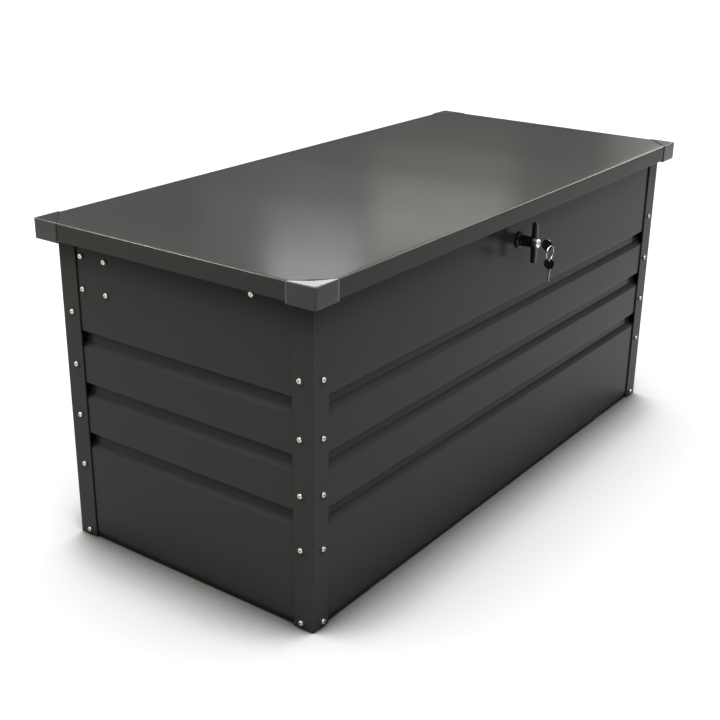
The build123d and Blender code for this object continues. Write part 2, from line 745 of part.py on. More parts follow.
with BuildPart() as lock_plug:
    with BuildSketch(lock_plane(barrel_face_y)):
        Circle(plug_radius)
        Rectangle(key_gauge + key_slot_clearance, key_width + key_slot_clearance, mode=Mode.SUBTRACT)
    extrude(amount=-key_slot_depth)
    with BuildSketch(lock_plane(barrel_face_y + key_slot_depth)):
        Circle(plug_radius)
    extrude(amount=key_slot_depth + running_clearance - plug_length)
save(lock_plug, "lock_plug")

spindle_end_y = cam_back_y + cam_nut_thickness
with BuildPart() as lock_spindle:
    with BuildSketch(lock_plane(spindle_end_y)):
        Circle(spindle_radius)
    extrude(amount=spindle_end_y - barrel_back_y)
save(lock_spindle, "lock_spindle")

with BuildPart() as lock_cam:
    with BuildSketch(lock_plane(cam_front_y)):
        Circle(cam_half_width)
        with Locations((0, cam_length - cam_half_width)):
            Circle(cam_half_width)
        make_hull()
        Circle(spindle_radius, mode=Mode.SUBTRACT)
    extrude(amount=-cam_thickness)
save(lock_cam, "lock_cam")

with BuildPart() as cam_nut:
    with BuildSketch(lock_plane(cam_back_y)):
        RegularPolygon(cam_half_width, 6)
        Circle(spindle_radius, mode=Mode.SUBTRACT)
    extrude(amount=-cam_nut_thickness)
save(cam_nut, "cam_nut")

# The catch hangs from the lid's front rail; its ledge lies below the cam when that is turned
ledge_top = lock_z - cam_half_width - catch_clearance
catch_middle = (catch_inner + catch_outer) / 2
catch_width = catch_outer - catch_inner
ledge_width = catch_strip_inset - catch_ledge_inset
with BuildPart() as lid_catch:
    with BuildSketch(Plane(origin=(catch_middle, 0, 0), x_dir=(0, 1, 0), z_dir=(1, 0, 0))):
        with Locations((-half_depth + catch_strip_inset, lid_frame_bottom)):
            strip_height = lid_frame_bottom - ledge_top + plate_gauge
            Rectangle(plate_gauge, strip_height, align=(Align.MIN, Align.MAX))
            Rectangle(ledge_width, plate_gauge, align=(Align.MAX, Align.MAX))
        with Locations((-half_depth + catch_ledge_inset, ledge_top)):
            Rectangle(ledge_width, plate_gauge, align=(Align.MIN, Align.MAX))
    extrude(amount=catch_width / 2, both=True)
save(lid_catch, "lid_catch")

# ---------------------------------------------------------------- keys and ring
def key_plane(z):
    """The upright plane through the lock's axis in which the keys lie, at a given height."""
    return Plane(origin=(0, 0, z), x_dir=(0, 1, 0), z_dir=(1, 0, 0))


with BuildPart() as lock_key:
    with BuildSketch(key_plane(lock_z)):
        with Locations((key_head_y, 0)):
            blade_reach = key_head_offset + key_blade_length
            Rectangle(blade_reach, key_width, align=(Align.MIN, Align.CENTER))
    extrude(amount=key_gauge / 2, both=True)
    with BuildSketch(key_plane(lock_z)):
        with Locations((key_head_y, 0)):
            Circle(key_head_radius)
    extrude(amount=key_head_thickness / 2, both=True)
    with BuildSketch(key_plane(lock_z)):
        with Locations((key_hole_y, 0)):
            Circle(key_hole_radius)
    extrude(amount=key_head_thickness, both=True, mode=Mode.SUBTRACT)
save(lock_key, "lock_key")

# The ring's wire rests just above the bottom of the key's hole, and the spare key hangs from it
ring_top_z = lock_z - key_hole_radius + ring_wire_radius + ring_seat_gap
ring_centre_z = ring_top_z - ring_radius
spare_hole_z = ring_centre_z - ring_radius - key_hole_radius + ring_wire_radius + ring_seat_gap
spare_head_z = spare_hole_z - key_hole_offset
with BuildPart() as key_ring:
    with BuildSketch(Plane(origin=(ring_radius, key_hole_y, ring_centre_z), z_dir=(0, 0, 1))):
        Circle(ring_wire_radius)
    revolve(axis=Axis((0, key_hole_y, ring_centre_z), (0, 1, 0)), revolution_arc=360)
save(key_ring, "key_ring")

with BuildPart() as spare_key:
    with BuildSketch(key_plane(spare_head_z)):
        with Locations((key_hole_y, 0)):
            Rectangle(key_width, key_head_radius + spare_blade_length, align=(Align.CENTER, Align.MAX))
    extrude(amount=key_gauge / 2, both=True)
    with BuildSketch(key_plane(spare_head_z)):
        with Locations((key_hole_y, 0)):
            Circle(key_head_radius)
    extrude(amount=key_head_thickness / 2, both=True)
    with BuildSketch(key_plane(spare_hole_z)):
        with Locations((key_hole_y, 0)):
            Circle(key_hole_radius)
    extrude(amount=key_head_thickness, both=True, mode=Mode.SUBTRACT)
save(spare_key, "spare_key")


# ---------------------------------------------------------------- fasteners
def make_bolt(seat, shank_length):
    """A pan-head bolt along Z: its head starts at the seat height, its shank runs down from it."""
    with BuildPart() as bolt:
        with BuildSketch(Plane.XY.offset(seat)):
            Circle(bolt_head_radius)
        extrude(amount=bolt_head_height)
        fillet(bolt.faces().sort_by(Axis.Z)[-1].edges(), bolt_head_edge)
        with BuildSketch(Plane.XY.offset(seat)):
            Circle(bolt_radius)
        extrude(amount=-shank_length)
        with BuildSketch(Plane.XY.offset(seat + bolt_head_height)):
            Rectangle(recess_length, recess_width)
            Rectangle(recess_width, recess_length)
        extrude(amount=-recess_depth, mode=Mode.SUBTRACT)
    return bolt.part


def make_nut(seat):
    """A hexagon nut along Z whose bearing face is turned towards +Z at the seat height."""
    with BuildPart() as nut:
        with BuildSketch(Plane.XY.offset(seat)):
            RegularPolygon(nut_radius, 6)
            Circle(bolt_radius + running_clearance, mode=Mode.SUBTRACT)
        extrude(amount=-nut_thickness)
    return nut.part


def make_washer():
    """A flat washer along Z, lying on Z = 0."""
    with BuildPart() as washer:
        with BuildSketch():
            Circle(washer_radius)
            Circle(bolt_hole_radius, mode=Mode.SUBTRACT)
        extrude(amount=washer_thickness)
    return washer.part


def place_all(name, groups):
    """Write one sub-part made of copies: each group is a piece and the places it goes to."""
    with BuildPart() as fasteners:
        for piece, places in groups:
            with Locations(*places):
                add(piece)
    save(fasteners, name)


post_grip = washer_thickness + panel_inner
floor_grip = post_grip + panel_gauge
place_all(
    "post_bolts",
    (
        (make_bolt(washer_thickness, post_grip + nut_thickness + bolt_tail), wall_bolts),
        (make_bolt(washer_thickness, floor_grip + nut_thickness + bolt_tail), floor_bolts),
    ),
)
place_all("post_washers", ((make_washer(), all_post_bolts),))
place_all(
    "post_nuts",
    ((make_nut(-panel_inner), wall_bolts), (make_nut(-panel_inner - panel_gauge), floor_bolts)),
)

# The end walls' bolts hold the panel, the rail and, towards the rear, the strut's bracket
bracket_bolts = [place for place in end_wall_bolts if place.origin.Y > 0]
rail_bolts = [place for place in end_wall_bolts if place.origin.Y < 0]
rail_grip = washer_thickness + panel_gauge + frame_gauge
bracket_grip = rail_grip + plate_gauge
place_all(
    "end_wall_bolts",
    (
        (make_bolt(washer_thickness, bracket_grip + nut_thickness + bolt_tail), bracket_bolts),
        (make_bolt(washer_thickness, rail_grip + nut_thickness + bolt_tail), rail_bolts),
    ),
)
place_all("end_wall_washers", ((make_washer(), end_wall_bolts),))
place_all(
    "end_wall_nuts",
    (
        (make_nut(-bracket_grip + washer_thickness), bracket_bolts),
        (make_nut(-rail_grip + washer_thickness), rail_bolts),
    ),
)

hinge_grip = plate_gauge + panel_gauge + frame_gauge
place_all(
    "hinge_bolts",
    ((make_bolt(0, hinge_grip + nut_thickness + bolt_tail), hinge_bolts),),
)
place_all("hinge_nuts", ((make_nut(-hinge_grip), hinge_bolts),))
rim_grip = panel_gauge + plate_gauge
place_all("rim_bolts", ((make_bolt(0, rim_grip + nut_thickness + bolt_tail), rim_screws),))
place_all("rim_nuts", ((make_nut(-rim_grip), rim_screws),))
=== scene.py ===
# %% [markdown]
# # A sheet-steel deck box, finished in Blender
# The box is built in CAD: pressed walls, corner posts, a lid on two gas struts and a T-handle lock.
# Here it gets its surfaces. Sheet metal looks right when its bends are round, its flats are not
# perfectly flat and its paint has a fine texture. So the walls, the lid, the caps and the lock are
# worked out again as smooth surfaces, and everything else keeps its CAD shape under a better finish.

# %% Load the frame
import json
import math

import bmesh
import bpy
import numpy as np
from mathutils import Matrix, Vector


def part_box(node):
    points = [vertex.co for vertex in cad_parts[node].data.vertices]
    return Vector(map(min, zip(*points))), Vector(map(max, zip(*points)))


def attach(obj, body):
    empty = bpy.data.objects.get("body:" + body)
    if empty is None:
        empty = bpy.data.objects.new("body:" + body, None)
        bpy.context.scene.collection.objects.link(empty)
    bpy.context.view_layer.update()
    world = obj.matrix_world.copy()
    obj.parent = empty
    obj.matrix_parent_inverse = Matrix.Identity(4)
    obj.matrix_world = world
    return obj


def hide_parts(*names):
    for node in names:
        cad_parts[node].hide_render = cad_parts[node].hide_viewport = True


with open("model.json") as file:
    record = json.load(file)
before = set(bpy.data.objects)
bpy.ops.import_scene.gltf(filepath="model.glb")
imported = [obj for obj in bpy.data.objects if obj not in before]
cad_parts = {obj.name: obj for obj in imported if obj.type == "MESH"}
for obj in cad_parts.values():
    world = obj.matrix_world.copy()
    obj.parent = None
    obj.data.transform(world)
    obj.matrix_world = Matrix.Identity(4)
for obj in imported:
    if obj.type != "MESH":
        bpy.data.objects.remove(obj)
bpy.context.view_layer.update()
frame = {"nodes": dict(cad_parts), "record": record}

# %% [markdown]
# ## The camera
# The box is seen from its left front corner, from a little above the lid, through a long lens.
# A camera object needs three things: a focal length, a place and a turn. They are set as numbers,
# because a view that has to repeat exactly is safer without constraints.

# %% Camera
MM = 0.001
SCENE = bpy.context.scene

camera_data = bpy.data.cameras.new("camera")
camera_data.sensor_width = 36.0
camera_data.lens = 59.99
camera = bpy.data.objects.new("camera", camera_data)
camera.location = (-1.9689, -1.3290, 1.1784)
camera.rotation_euler = [math.radians(angle) for angle in (67.988, -0.728, -53.917)]
SCENE.collection.objects.link(camera)
SCENE.camera = camera
print("camera to the middle of the box:", round((camera.location - Vector((0, 0, 0.31))).length, 3), "m")

# %% [markdown]
# ## The floor
# The floor is one huge pale sheet, so no edge of it shows. A box that stands on a floor darkens it
# along its foot. Soft light makes most of that shade, and an Ambient Occlusion node deepens it: it
# measures how open each point of the floor is, and mixes in a darker colour where it is closed.

# %% Materials begin with a bare shader


def bare_material(name):
    """A node material with only its Principled shader and output: its nodes, links and shader."""
    material = bpy.data.materials.new(name)
    material.use_nodes = True
    tree = material.node_tree
    return material, tree.nodes, tree.links, tree.nodes["Principled BSDF"]


print("each finish starts from one Principled shader")

# %% Floor
FLOOR_HALF = 40.0
FLOOR_DROP = 0.2 * MM
CONTACT_REACH = 0.22
CONTACT_CLOSED, CONTACT_OPEN = 0.47, 0.82
CONTACT_SHADE, FLOOR_PALE = (0.035, 0.033, 0.031), (0.320, 0.319, 0.317)
floor_mesh = bpy.data.meshes.new("floor")
floor_corners = [(-1, -1), (1, -1), (1, 1), (-1, 1)]
floor_points = [(x * FLOOR_HALF, y * FLOOR_HALF, -FLOOR_DROP) for x, y in floor_corners]
floor_mesh.from_pydata(floor_points, [], [(0, 1, 2, 3)])
floor = bpy.data.objects.new("floor", floor_mesh)
SCENE.collection.objects.link(floor)
floor_paint, floor_nodes, floor_links, floor_shader = bare_material("floor_paint")
contact = floor_nodes.new("ShaderNodeAmbientOcclusion")
contact.inputs["Distance"].default_value = CONTACT_REACH
depth = floor_nodes.new("ShaderNodeMapRange")
depth.inputs["From Min"].default_value = CONTACT_CLOSED
depth.inputs["From Max"].default_value = CONTACT_OPEN
floor_colour = floor_nodes.new("ShaderNodeMix")
floor_colour.data_type = "RGBA"
floor_colour.inputs[6].default_value = (*CONTACT_SHADE, 1)
floor_colour.inputs[7].default_value = (*FLOOR_PALE, 1)
floor_links.new(contact.outputs["AO"], depth.inputs["Value"])
floor_links.new(depth.outputs["Result"], floor_colour.inputs[0])
floor_links.new(floor_colour.outputs[2], floor_shader.inputs["Base Color"])
floor_shader.inputs["Roughness"].default_value = 0.9
floor_shader.inputs["Specular IOR Level"].default_value = 0.0
floor_mesh.materials.append(floor_paint)
print("floor:", 2 * FLOOR_HALF, "m wide")

# %% [markdown]
# ## The room's light
# A dark glossy box shows mostly what it reflects, so the room decides how it looks. It could be a
# ready-made panorama, but a ramp is enough: its brightness depends only on height, dark near the
# horizon and bright overhead. Light from overhead leaves the grooves and the wall under the lid's
# rim in shade. The camera itself sees a plain pale wall in place of the ramp.

# %% The room's light by height
ROOM_STEPS = (
    (0.00, 0.006),
    (0.21, 0.006),
    (0.27, 0.012),
    (0.34, 0.030),
    (0.60, 0.250),
    (0.75, 0.500),
    (0.90, 1.000),
)
ROOM_STRENGTH = 8.0
WALL_GREY = 0.94
world = bpy.data.worlds.new("studio")
SCENE.world = world
world.use_nodes = True
air = world.node_tree
way = air.nodes.new("ShaderNodeTexCoord")
split = air.nodes.new("ShaderNodeSeparateXYZ")
ramp = air.nodes.new("ShaderNodeValToRGB")
air.links.new(way.outputs["Generated"], split.inputs[0])
air.links.new(split.outputs["Z"], ramp.inputs[0])
air.links.new(ramp.outputs[0], air.nodes["Background"].inputs["Color"])
while len(ramp.color_ramp.elements) < len(ROOM_STEPS):
    ramp.color_ramp.elements.new(0.5)
for step, (height, grey) in zip(ramp.color_ramp.elements, ROOM_STEPS):
    step.position = height
    step.color = (grey, grey, grey, 1)
room_light = air.nodes["Background"]
room_light.inputs["Strength"].default_value = ROOM_STRENGTH
plain_wall = air.nodes.new("ShaderNodeBackground")
plain_wall.inputs["Color"].default_value = (WALL_GREY, WALL_GREY, WALL_GREY, 1)
ray = air.nodes.new("ShaderNodeLightPath")
seen = air.nodes.new("ShaderNodeMixShader")
air.links.new(ray.outputs["Is Camera Ray"], seen.inputs[0])
air.links.new(room_light.outputs[0], seen.inputs[1])
air.links.new(plain_wall.outputs[0], seen.inputs[2])
air.links.new(seen.outputs[0], air.nodes["World Output"].inputs["Surface"])
SCENE.view_settings.view_transform = "Standard"
print("room:", len(ROOM_STEPS), "steps of brightness")

# %% [markdown]
# ## Soft boxes
# Satin paint shows a lamp as a soft patch, and a rounded edge shows it as a thin bright line. Each
# lamp here makes one such mark: the glow on the lid, the glint on the near cap and the line along
# two edges. Most are for gloss only, so they can be strong without changing the light on the walls.

# %% Soft boxes


def soft_box(name, place, target, size, power, colour, gloss_only=False):
    """A rectangular lamp at a place, turned to face a target. Power is in watts. A gloss-only lamp
    shows in reflections and adds nothing to the matt part of a finish."""
    lamp = bpy.data.lights.new(name, "AREA")
    lamp.shape = "RECTANGLE"
    lamp.size, lamp.size_y = size
    lamp.energy = power
    lamp.color = colour
    obj = bpy.data.objects.new(name, lamp)
    obj.location = place
    obj.rotation_euler = (Vector(target) - Vector(place)).to_track_quat("-Z", "Y").to_euler()
    obj.visible_camera = False
    obj.visible_diffuse = not gloss_only
    SCENE.collection.objects.link(obj)


CREAM, COOL, WARM = (1.0, 1.0, 0.92), (0.97, 0.97, 1.0), (1.0, 0.84, 0.55)
soft_box("lid_glow", (2.85, 1.96, 1.72), (-0.35, -0.20, 0.62), (1.9, 0.24), 0.75, (1.0, 1.0, 0.94), True)
soft_box("front_glow", (2.97, 1.74, 1.72), (-0.30, -0.29, 0.62), (0.7, 0.12), 1.5, CREAM, True)
soft_box("right_glow", (4.16, 1.04, 1.45), (0.50, -0.29, 0.62), (0.7, 0.40), 0.35, CREAM, True)
soft_box("cap_glint", (1.295, 1.233, 1.437), (-0.645, -0.29, 0.62), (0.34, 0.12), 1.1, COOL, True)
soft_box("front_edge_light", (2.97, 0.31, 2.61), (0.0, -0.29, 0.62), (0.9, 2.2), 150, CREAM, True)
soft_box("left_edge_light", (0.29, 2.39, 2.99), (-0.66, 0.0, 0.62), (1.6, 0.8), 300, CREAM, True)
soft_box("left_strip", (-2.4, 1.9, 0.75), (-0.6, 0.0, 0.4), (1.8, 0.45), 16, WARM)
print("lamps:", [lamp.name for lamp in bpy.data.lights])

# %% [markdown]
# ## Helpers for finishes
# Every finish is a few procedural nodes on Object coordinates, so it keeps its real scale in metres.
# The same four steps come back in each: a noise, a range for it, two colours and a relief. They are
# worth a small function each, and the finishes below then read as recipes.

# %% Texture helpers


def noise(nodes, links, scale, detail):
    """A noise texture on Object coordinates. Its scale is in repeats for each metre."""
    place = nodes.new("ShaderNodeTexCoord")
    texture = nodes.new("ShaderNodeTexNoise")
    texture.inputs["Scale"].default_value = scale
    texture.inputs["Detail"].default_value = detail
    links.new(place.outputs["Object"], texture.inputs["Vector"])
    return texture.outputs["Fac"]


def between(nodes, links, value, low, high):
    """Map a texture's value from 0..1 to low..high."""
    spread = nodes.new("ShaderNodeMapRange")
    spread.inputs["To Min"].default_value = low
    spread.inputs["To Max"].default_value = high
    links.new(value, spread.inputs["Value"])
    return spread.outputs["Result"]


def tint(nodes, links, value, dark, light):
    """Blend two colours by a texture's value."""
    blend = nodes.new("ShaderNodeMix")
    blend.data_type = "RGBA"
    blend.inputs[6].default_value = (*dark, 1)
    blend.inputs[7].default_value = (*light, 1)
    links.new(value, blend.inputs[0])
    return blend.outputs[2]


def relief(nodes, links, shader, value, depth, strength=1.0):
    """Bump a shader's normal by a texture whose full height is depth in metres."""
    bump = nodes.new("ShaderNodeBump")
    bump.inputs["Strength"].default_value = strength
    bump.inputs["Distance"].default_value = depth
    links.new(value, bump.inputs["Height"])
    links.new(bump.outputs["Normal"], shader.inputs["Normal"])


print("helpers:", [helper.__name__ for helper in (noise, between, tint, relief)])

# %% [markdown]
# ## Powder coat
# The sheets, posts and caps are powder coated: a satin charcoal skin with a fine orange peel. Its
# colour and gloss drift slowly over a sheet. Paint in a fold looks darker than paint in the open,
# because light has to bounce in. Ambient occlusion finds those places, and that shade is painted
# into the base colour there.

# %% Shade in crevices
CREVICE_REACH = 90.0 * MM
CREVICE_CLOSED, CREVICE_OPEN = 0.28, 0.80


def crevice_shade(nodes, links):
    """1 in the open and 0 where the upper half of the view is blocked within CREVICE_REACH. It is
    ambient occlusion about the surface's normal turned halfway to straight up, and sets where shade is
    painted."""
    surface = nodes.new("ShaderNodeNewGeometry")
    tilted = nodes.new("ShaderNodeVectorMath")
    tilted.operation = "ADD"
    tilted.inputs[1].default_value = (0, 0, 1)
    links.new(surface.outputs["Normal"], tilted.inputs[0])
    unit = nodes.new("ShaderNodeVectorMath")
    unit.operation = "NORMALIZE"
    links.new(tilted.outputs[0], unit.inputs[0])
    blocked = nodes.new("ShaderNodeAmbientOcclusion")
    blocked.inputs["Distance"].default_value = CREVICE_REACH
    links.new(unit.outputs[0], blocked.inputs["Normal"])
    open_share = nodes.new("ShaderNodeMapRange")
    open_share.inputs["From Min"].default_value = CREVICE_CLOSED
    open_share.inputs["From Max"].default_value = CREVICE_OPEN
    links.new(blocked.outputs["AO"], open_share.inputs["Value"])
    return open_share.outputs["Result"]


print("crevices are looked for within", round(CREVICE_REACH / MM), "mm")

# %% Powder coat
# painted shade: the base colour of paint deep in a crevice
CREVICE_SHADE_COLOUR = (0.0045, 0.0044, 0.0042)
PEEL_SCALE = 700.0
HAZE = 0.015


def powder_coat(name, dark, light, roughness, peel_depth, gloss=0.06):
    """Satin powder coat: orange peel about 1.5 mm across, slow drifts in colour and gloss, and painted
    shade in crevices.
    """
    material, nodes, links, shader = bare_material(name)
    drift = noise(nodes, links, 5.0, 4)
    colour = tint(nodes, links, drift, dark, light)
    # painted shade: the base colour is mixed towards near black where ambient occlusion finds a crevice
    open_share = crevice_shade(nodes, links)
    shaded = nodes.new("ShaderNodeMix")
    shaded.data_type = "RGBA"
    shaded.inputs[6].default_value = (*CREVICE_SHADE_COLOUR, 1)
    links.new(open_share, shaded.inputs[0])
    links.new(colour, shaded.inputs[7])
    links.new(shaded.outputs[2], shader.inputs["Base Color"])
    haze = noise(nodes, links, 11.0, 5)
    links.new(between(nodes, links, haze, roughness - HAZE, roughness + HAZE), shader.inputs["Roughness"])
    relief(nodes, links, shader, noise(nodes, links, PEEL_SCALE, 2), peel_depth, 0.6)
    shader.inputs["Specular IOR Level"].default_value = gloss
    return material


SHEET_DARK, SHEET_LIGHT = (0.0180, 0.0177, 0.0168), (0.0200, 0.0197, 0.0187)
sheet_paint = powder_coat("sheet_powder_coat", SHEET_DARK, SHEET_LIGHT, 0.20, 0.015 * MM)
frame_paint = powder_coat("post_powder_coat", SHEET_DARK, SHEET_LIGHT, 0.26, 0.015 * MM)
cap_paint = powder_coat("cap_gloss_coat", SHEET_DARK, SHEET_LIGHT, 0.14, 0.006 * MM, 0.2)
print("powder coats:", [paint.name for paint in (sheet_paint, frame_paint, cap_paint)])

# %% [markdown]
# ## Plated metal
# Hidden steel is dipped in zinc, which sets in flat crystals, each with its own grey. A Voronoi
# texture gives each crystal one random colour. Screws, nuts, the barrel and the key blades are
# plated more finely, and a noise that moves both colour and roughness gives that faint cloudiness.

# %% Plated metal


def plated(name, dark, light, roughness, grain, depth):
    """Plated metal: grain sets how fine its clouds are, and the same clouds change its gloss."""
    material, nodes, links, shader = bare_material(name)
    shader.inputs["Metallic"].default_value = 1.0
    clouds = noise(nodes, links, grain, 6)
    links.new(tint(nodes, links, clouds, dark, light), shader.inputs["Base Color"])
    links.new(between(nodes, links, clouds, roughness * 0.7, roughness * 1.3), shader.inputs["Roughness"])
    relief(nodes, links, shader, noise(nodes, links, grain * 8, 3), depth)
    return material


def zinc_spangle(name):
    """Hot-dip zinc: flat crystals about 12 mm across, each with its own grey and gloss."""
    material, nodes, links, shader = bare_material(name)
    shader.inputs["Metallic"].default_value = 1.0
    place = nodes.new("ShaderNodeTexCoord")
    crystals = nodes.new("ShaderNodeTexVoronoi")
    crystals.inputs["Scale"].default_value = 80.0
    links.new(place.outputs["Object"], crystals.inputs["Vector"])
    grey = nodes.new("ShaderNodeRGBToBW")
    links.new(crystals.outputs["Color"], grey.inputs[0])
    colour = tint(nodes, links, grey.outputs[0], (0.40, 0.41, 0.43), (0.62, 0.63, 0.65))
    links.new(colour, shader.inputs["Base Color"])
    links.new(between(nodes, links, grey.outputs[0], 0.30, 0.48), shader.inputs["Roughness"])
    relief(nodes, links, shader, noise(nodes, links, 220.0, 3), 0.02 * MM)
    return material


zinc = zinc_spangle("zinc_spangle")
screw_steel = plated("screw_steel", (0.38, 0.38, 0.36), (0.60, 0.60, 0.57), 0.25, 260.0, 0.01 * MM)
nut_zinc = plated("nut_zinc", (0.45, 0.46, 0.47), (0.66, 0.66, 0.66), 0.30, 260.0, 0.01 * MM)
nickel = plated("polished_nickel", (0.62, 0.60, 0.56), (0.82, 0.80, 0.76), 0.10, 300.0, 0.004 * MM)
key_steel = plated("key_steel", (0.50, 0.47, 0.42), (0.70, 0.66, 0.58), 0.24, 400.0, 0.008 * MM)
print("metals:", [metal.name for metal in (zinc, screw_steel, nut_zinc, nickel, key_steel)])

# %% [markdown]
# ## Black parts
# The lock is lacquered, the key heads are moulded, the bumpers are rubber and the struts' tubes are
# painted. All are nearly black, so they differ in gloss and grain more than in colour. One recipe
# with those as its arguments covers them, and the struts alone get a clear coat on top.

# %% Black parts


def black_part(name, colour, roughness, grain, depth, gloss=0.5, coat=0.0):
    """A dark moulded or lacquered part with a fine grain; coat adds a clear glossy layer."""
    material, nodes, links, shader = bare_material(name)
    clouds = noise(nodes, links, 60.0, 4)
    lighter = tuple(1.6 * channel for channel in colour)
    links.new(tint(nodes, links, clouds, colour, lighter), shader.inputs["Base Color"])
    haze = noise(nodes, links, 90.0, 4)
    links.new(between(nodes, links, haze, roughness * 0.8, roughness * 1.2), shader.inputs["Roughness"])
    relief(nodes, links, shader, noise(nodes, links, grain, 2), depth)
    shader.inputs["Specular IOR Level"].default_value = gloss
    shader.inputs["Coat Weight"].default_value = coat
    shader.inputs["Coat Roughness"].default_value = 0.06
    return material


lock_lacquer = black_part("lock_lacquer", (0.0024, 0.0024, 0.0026), 0.22, 900.0, 0.004 * MM, 0.22)
key_plastic = black_part("key_plastic", (0.0026, 0.0026, 0.0026), 0.34, 1400.0, 0.012 * MM, 0.18)
rubber = black_part("black_rubber", (0.012, 0.012, 0.012), 0.75, 900.0, 0.03 * MM)
strut_lacquer = black_part("strut_lacquer", (0.008, 0.008, 0.009), 0.25, 800.0, 0.004 * MM, 0.5, 0.4)
print("black parts:", [part.name for part in (lock_lacquer, key_plastic, rubber, strut_lacquer)])

# %% [markdown]
# ## Finishes for the CAD parts
# Brackets, bearers, rails, hinges, struts and fasteners keep their CAD shape, which is already the
# real one. The record gives each part's kind of material, so a dictionary can hand out finishes.

# %% Put a finish on every CAD node
FINISHES = {
    "painted_sheet": sheet_paint,
    "painted_frame": frame_paint,
    "zinc_plated": zinc,
    "bolt_steel": screw_steel,
    "black_rubber": rubber,
    "black_lock": lock_lacquer,
    "bright_metal": nickel,
    "key_head": key_plastic,
    "strut_black": strut_lacquer,
}
slot_of = {part["node"]: part["material_slot"] for part in frame["record"]["subparts"]}
for name, node in frame["nodes"].items():
    is_nut = name.endswith(("_nut", "_nuts"))
    node.data.materials.clear()
    node.data.materials.append(nut_zinc if is_nut else FINISHES[slot_of[name]])
print(len(frame["nodes"]), "CAD nodes have their finish")

# %% [markdown]
# ## Surfaces worked out as arrays
# A piece of sheet is a grid of points: one direction runs along the section, the other along the
# piece. The whole grid is computed at once and handed to Blender. Solidify then gives it its gauge.

# %% From a grid of points to a piece


def corners_of(node):
    """A CAD node's lowest and highest corners at rest, as arrays."""
    return (np.array(corner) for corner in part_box(node))


def grid_piece(name, points, material, wrap=(False, False), inside=None, gauge=0.0, sharp=40.0):
    """Make an object from points[row, column, xyz]. wrap closes the grid in either direction.
    A closed piece has its normals recalculated; an open sheet is turned away from a point inside it."""
    rows, columns = points.shape[:2]
    index = np.arange(rows * columns).reshape(rows, columns)
    if wrap[0]:
        index = np.vstack([index, index[:1]])
    if wrap[1]:
        index = np.hstack([index, index[:, :1]])
    corners = [index[:-1, :-1], index[1:, :-1], index[1:, 1:], index[:-1, 1:]]
    quads = np.stack(corners, axis=-1).reshape(-1, 4)
    mesh = bpy.data.meshes.new(name)
    mesh.from_pydata(points.reshape(-1, 3).tolist(), [], quads.tolist())
    work = bmesh.new()
    work.from_mesh(mesh)
    bmesh.ops.remove_doubles(work, verts=work.verts, dist=0.001 * MM)
    if inside is None:
        bmesh.ops.recalc_face_normals(work, faces=work.faces)
    else:
        outward = 0.0
        for face in work.faces:
            outward += face.calc_area() * (face.calc_center_median() - Vector(inside)).dot(face.normal)
        if outward < 0:
            bmesh.ops.reverse_faces(work, faces=work.faces)
    work.to_mesh(mesh)
    work.free()
    mesh.shade_smooth()
    mesh.set_sharp_from_angle(angle=math.radians(sharp))
    mesh.materials.append(material)
    obj = bpy.data.objects.new(name, mesh)
    SCENE.collection.objects.link(obj)
    if gauge:
        wall = obj.modifiers.new("gauge", "SOLIDIFY")
        wall.thickness = gauge
        wall.offset = -1
    return obj


def give(obj, body, slot, *replaced):
    """Let a piece ride on its body and stand for its CAD nodes, which are hidden. The slot is not used.
    """
    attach(obj, body)
    if replaced:
        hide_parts(*replaced)
    return obj


print("a grid closes on itself in either direction, or stays an open sheet")

# %% [markdown]
# ## Rounded sections
# Sheet is folded round a small radius, never at a knife edge. A Bevel modifier could round it, but
# a section that is already round when it is carried along gives even faces and clean highlights.
# Long runs get extra points, so that slow waves can be laid over them.

# %% Rounded sections


def rounded(corners, radius, arc_steps=6):
    """Points along a section whose corners are rounded. At each corner the arc touches both runs
    at radius * tan(turn / 2) from it, and its centre lies on the corner's bisector."""
    corners = np.array(corners, float)
    line = [corners[0]]
    for before, corner, after in zip(corners[:-2], corners[1:-1], corners[2:]):
        back = (before - corner) / np.linalg.norm(before - corner)
        ahead = (after - corner) / np.linalg.norm(after - corner)
        half = math.acos(np.clip(back @ ahead, -1, 1)) / 2
        if half > 0.499 * math.pi:
            line.append(corner)
            continue
        start = corner + back * radius / math.tan(half)
        centre = corner + (back + ahead) / np.linalg.norm(back + ahead) * radius / math.sin(half)
        sweep = math.pi - 2 * half
        first = (start - centre) / radius
        angles = np.linspace(0, sweep, arc_steps)[:, None]
        line.extend(centre + radius * (first * np.cos(angles) - back * np.sin(angles)))
    line.append(corners[-1])
    return np.array(line)


def filled_in(line, spacing):
    """The same section with more points on its long runs, none further apart than the spacing."""
    points = [line[:1]]
    for start, end in zip(line[:-1], line[1:]):
        count = max(1, math.ceil(np.linalg.norm(end - start) / spacing))
        points.append(start + (end - start) * (np.arange(1, count + 1) / count)[:, None])
    return np.vstack(points)


print("a right angle, rounded:", rounded([(0, 0), (1, 0), (1, 1)], 0.2, 3).round(2).tolist())

# %% [markdown]
# ## The four walls
# Each wall is one pressed sheet with three grooves. A groove is a sharp return at the top, a flat
# set back about 10 mm and a slope back out, which catches the light from the floor. Thin sheet is
# never flat, so the lands between the grooves get slow waves of a few tenths of a millimetre.

# %% Wall section
PANEL_GAUGE = 0.6 * MM
BEND_RADIUS = 1.9 * MM
GROOVE_TOPS = (0.2190, 0.3195, 0.4200)
GROOVE_HEIGHT = 31.0 * MM
GROOVE_RISE = 10.0 * MM
GROOVE_DEPTH = 10.0 * MM
FLAT_SPACING = 14.0 * MM
CAN_DEPTH = 0.30 * MM
WAVE_COUNT = 5
CALM_BY_BEND, CALM_BY_END = 30.0 * MM, 60.0 * MM

panel_low, panel_high = corners_of("front_panel")


